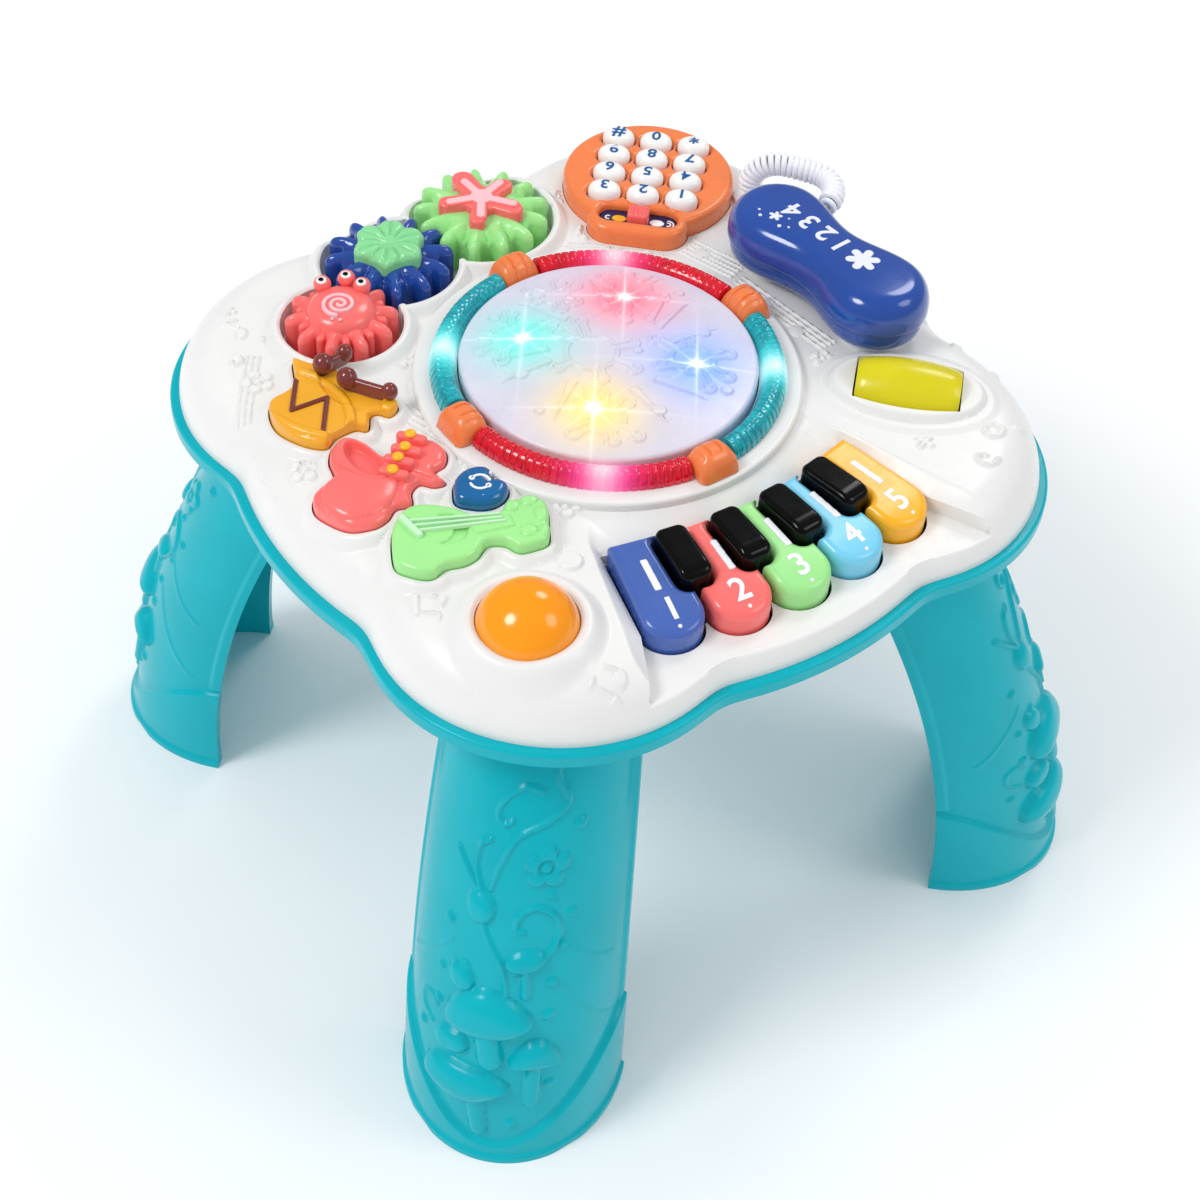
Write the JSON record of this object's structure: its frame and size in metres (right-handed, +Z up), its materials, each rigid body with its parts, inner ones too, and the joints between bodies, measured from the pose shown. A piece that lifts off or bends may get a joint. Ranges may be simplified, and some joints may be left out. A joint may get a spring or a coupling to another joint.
{
  "type": "musical activity table",
  "caption": "Lobed toddler activity table on four arched legs, with piano keys, a light drum, gears, a ball, a roller, a toy phone and instrument buttons.",
  "frame": {"origin": "on the floor under the centre of the table", "axes": "+Z up; the keyboard faces -Y, the telephone lies along +X and the gears run along +Y"},
  "size_m": [0.3812, 0.3812, 0.297],
  "materials": {
    "white_plastic": "satin moulded plastic",
    "turquoise_plastic": "glossy moulded plastic",
    "orange_plastic": "satin moulded plastic",
    "blue_plastic": "glossy moulded plastic",
    "coral_plastic": "satin moulded plastic",
    "light_green_plastic": "satin moulded plastic",
    "light_blue_plastic": "satin moulded plastic",
    "key_blue_plastic": "satin moulded plastic",
    "amber_plastic": "glossy moulded plastic",
    "gold_plastic": "satin moulded plastic",
    "yellow_plastic": "satin moulded plastic",
    "heart_blue_plastic": "glossy moulded plastic",
    "black_plastic": "high gloss",
    "red_guide_plastic": "clear tinted light guide",
    "teal_guide_plastic": "clear tinted light guide",
    "lens_plastic": "translucent diffuser",
    "cord_plastic": "soft flexible plastic",
    "board": "printed circuit board",
    "steel": "plain metal"
  },
  "bodies": {
    "table": {"top_shell": "white_plastic", "base_shell": "turquoise_plastic", "leg_back_right": "turquoise_plastic", "leg_back_left": "turquoise_plastic", "leg_front_left": "turquoise_plastic", "leg_front_right": "turquoise_plastic", "black_key_frame": "black_plastic", "ring_guide_red_back": "red_guide_plastic", "ring_guide_teal_left": "teal_guide_plastic", "ring_guide_red_front": "red_guide_plastic", "ring_guide_teal_right": "teal_guide_plastic", "ring_clamp_right": "orange_plastic", "ring_clamp_back": "orange_plastic", "ring_clamp_left": "orange_plastic", "ring_clamp_front": "orange_plastic", "keypad_plate": "orange_plastic", "cord_grommet": "cord_plastic", "curly_cord": "cord_plastic", "speaker": "steel", "battery_door": "turquoise_plastic", "battery_1": "steel", "battery_2": "steel", "battery_3": "steel", "circuit_board": "board", "light_board": "board"},
    "key_1": {"key_1": "key_blue_plastic"},
    "key_2": {"key_2": "coral_plastic"},
    "key_3": {"key_3": "light_green_plastic"},
    "key_4": {"key_4": "light_blue_plastic"},
    "key_5": {"key_5": "amber_plastic"},
    "number_1": {"number_1": "white_plastic"},
    "number_2": {"number_2": "white_plastic"},
    "number_3": {"number_3": "white_plastic"},
    "number_4": {"number_4": "white_plastic"},
    "number_5": {"number_5": "white_plastic"},
    "number_6": {"number_6": "white_plastic"},
    "number_7": {"number_7": "white_plastic"},
    "number_8": {"number_8": "white_plastic"},
    "number_9": {"number_9": "white_plastic"},
    "number_star": {"number_star": "white_plastic"},
    "number_0": {"number_0": "white_plastic"},
    "number_hash": {"number_hash": "white_plastic"},
    "volume_knob": {"volume_knob": "coral_plastic"},
    "drum_button": {"drum_button": "gold_plastic"},
    "saxophone_button": {"saxophone_button": "coral_plastic"},
    "guitar_button": {"guitar_button": "light_green_plastic"},
    "heart_button": {"heart_button": "heart_blue_plastic"},
    "light_lens": {"light_lens": "lens_plastic"},
    "handset": {"handset_lower_shell": "blue_plastic", "handset_upper_shell": "blue_plastic"},
    "spinner_ball": {"spinner_ball": "amber_plastic"},
    "roller": {"roller": "yellow_plastic"},
    "green_gear": {"green_gear": "light_green_plastic", "splash_cap": "coral_plastic"},
    "blue_gear": {"blue_gear": "blue_plastic", "flower_cap": "light_green_plastic"},
    "crab_gear": {"crab_gear": "coral_plastic"}
  },
  "joints": [
    {"name": "key_1_press", "type": "hinge", "parent": "table", "child": "key_1", "pos_m": [-0.04946, -0.08407, 0.254], "axis": [0.9759, -0.2181, 0], "range_deg": [0, 3.8], "stiffness_Nm_per_rad": 0.08, "springref_deg": -17.19},
    {"name": "key_2_press", "type": "hinge", "parent": "table", "child": "key_2", "pos_m": [-0.0247, -0.08929, 0.254], "axis": [0.994, -0.1097, 0], "range_deg": [0, 3.8], "stiffness_Nm_per_rad": 0.08, "springref_deg": -17.19},
    {"name": "key_3_press", "type": "hinge", "parent": "table", "child": "key_3", "pos_m": [0, -0.091, 0.254], "axis": [1, 0, 0], "range_deg": [0, 3.8], "stiffness_Nm_per_rad": 0.08, "springref_deg": -17.19},
    {"name": "key_4_press", "type": "hinge", "parent": "table", "child": "key_4", "pos_m": [0.0247, -0.08929, 0.254], "axis": [0.994, 0.1097, 0], "range_deg": [0, 3.8], "stiffness_Nm_per_rad": 0.08, "springref_deg": -17.19},
    {"name": "key_5_press", "type": "hinge", "parent": "table", "child": "key_5", "pos_m": [0.04946, -0.08407, 0.254], "axis": [0.9759, 0.2181, 0], "range_deg": [0, 3.8], "stiffness_Nm_per_rad": 0.08, "springref_deg": -17.19},
    {"name": "number_1_slide", "type": "slide", "parent": "table", "child": "number_1", "axis": [0, 0, -1], "range_m": [0, 0.0015], "stiffness_N_per_m": 300, "springref_m": -0.002},
    {"name": "number_2_slide", "type": "slide", "parent": "table", "child": "number_2", "axis": [0, 0, -1], "range_m": [0, 0.0015], "stiffness_N_per_m": 300, "springref_m": -0.002},
    {"name": "number_3_slide", "type": "slide", "parent": "table", "child": "number_3", "axis": [0, 0, -1], "range_m": [0, 0.0015], "stiffness_N_per_m": 300, "springref_m": -0.002},
    {"name": "number_4_slide", "type": "slide", "parent": "table", "child": "number_4", "axis": [0, 0, -1], "range_m": [0, 0.0015], "stiffness_N_per_m": 300, "springref_m": -0.002},
    {"name": "number_5_slide", "type": "slide", "parent": "table", "child": "number_5", "axis": [0, 0, -1], "range_m": [0, 0.0015], "stiffness_N_per_m": 300, "springref_m": -0.002},
    {"name": "number_6_slide", "type": "slide", "parent": "table", "child": "number_6", "axis": [0, 0, -1], "range_m": [0, 0.0015], "stiffness_N_per_m": 300, "springref_m": -0.002},
    {"name": "number_7_slide", "type": "slide", "parent": "table", "child": "number_7", "axis": [0, 0, -1], "range_m": [0, 0.0015], "stiffness_N_per_m": 300, "springref_m": -0.002},
    {"name": "number_8_slide", "type": "slide", "parent": "table", "child": "number_8", "axis": [0, 0, -1], "range_m": [0, 0.0015], "stiffness_N_per_m": 300, "springref_m": -0.002},
    {"name": "number_9_slide", "type": "slide", "parent": "table", "child": "number_9", "axis": [0, 0, -1], "range_m": [0, 0.0015], "stiffness_N_per_m": 300, "springref_m": -0.002},
    {"name": "number_star_slide", "type": "slide", "parent": "table", "child": "number_star", "axis": [0, 0, -1], "range_m": [0, 0.0015], "stiffness_N_per_m": 300, "springref_m": -0.002},
    {"name": "number_0_slide", "type": "slide", "parent": "table", "child": "number_0", "axis": [0, 0, -1], "range_m": [0, 0.0015], "stiffness_N_per_m": 300, "springref_m": -0.002},
    {"name": "number_hash_slide", "type": "slide", "parent": "table", "child": "number_hash", "axis": [0, 0, -1], "range_m": [0, 0.0015], "stiffness_N_per_m": 300, "springref_m": -0.002},
    {"name": "volume_knob_slide", "type": "slide", "parent": "table", "child": "volume_knob", "axis": [-0.7193, 0.6947, 0], "range_m": [-0.006, 0.006]},
    {"name": "drum_button_slide", "type": "slide", "parent": "table", "child": "drum_button", "axis": [0, 0, -1], "range_m": [0, 0.002], "stiffness_N_per_m": 600, "springref_m": -0.002},
    {"name": "saxophone_button_slide", "type": "slide", "parent": "table", "child": "saxophone_button", "axis": [0, 0, -1], "range_m": [0, 0.002], "stiffness_N_per_m": 600, "springref_m": -0.002},
    {"name": "guitar_button_slide", "type": "slide", "parent": "table", "child": "guitar_button", "axis": [0, 0, -1], "range_m": [0, 0.002], "stiffness_N_per_m": 600, "springref_m": -0.002},
    {"name": "heart_button_slide", "type": "slide", "parent": "table", "child": "heart_button", "axis": [0, 0, -1], "range_m": [0, 0.002], "stiffness_N_per_m": 400, "springref_m": -0.002},
    {"name": "light_lens_slide", "type": "slide", "parent": "table", "child": "light_lens", "axis": [0, 0, -1], "range_m": [0, 0.002], "stiffness_N_per_m": 1500, "springref_m": -0.0015},
    {"name": "handset_lift", "type": "slide", "parent": "table", "child": "handset", "axis": [0, 0, 1], "range_m": [0, 0.06]},
    {"name": "spinner_ball_spin", "type": "hinge", "parent": "table", "child": "spinner_ball", "pos_m": [-0.1162, -0.1097, 0.262], "axis": [0.7071, -0.7071, 0], "continuous": true},
    {"name": "roller_spin", "type": "hinge", "parent": "table", "child": "roller", "pos_m": [0.109, -0.0803, 0.2615], "axis": [0.7071, -0.7071, 0], "continuous": true},
    {"name": "green_gear_spin", "type": "hinge", "parent": "table", "child": "green_gear", "pos_m": [0.0127, 0.1254, 0.26], "axis": [0, 0, 1], "continuous": true},
    {"name": "blue_gear_spin", "type": "hinge", "parent": "table", "child": "blue_gear", "pos_m": [-0.04312, 0.11845, 0.26], "axis": [0, 0, 1], "continuous": true},
    {"name": "crab_gear_spin", "type": "hinge", "parent": "table", "child": "crab_gear", "pos_m": [-0.08463, 0.09149, 0.26], "axis": [0, 0, 1], "continuous": true}
  ],
  "couplings": [
    {"joint": "blue_gear_spin", "follows": "green_gear_spin", "ratio": -1.0833},
    {"joint": "crab_gear_spin", "follows": "green_gear_spin", "ratio": 1.3}
  ]
}
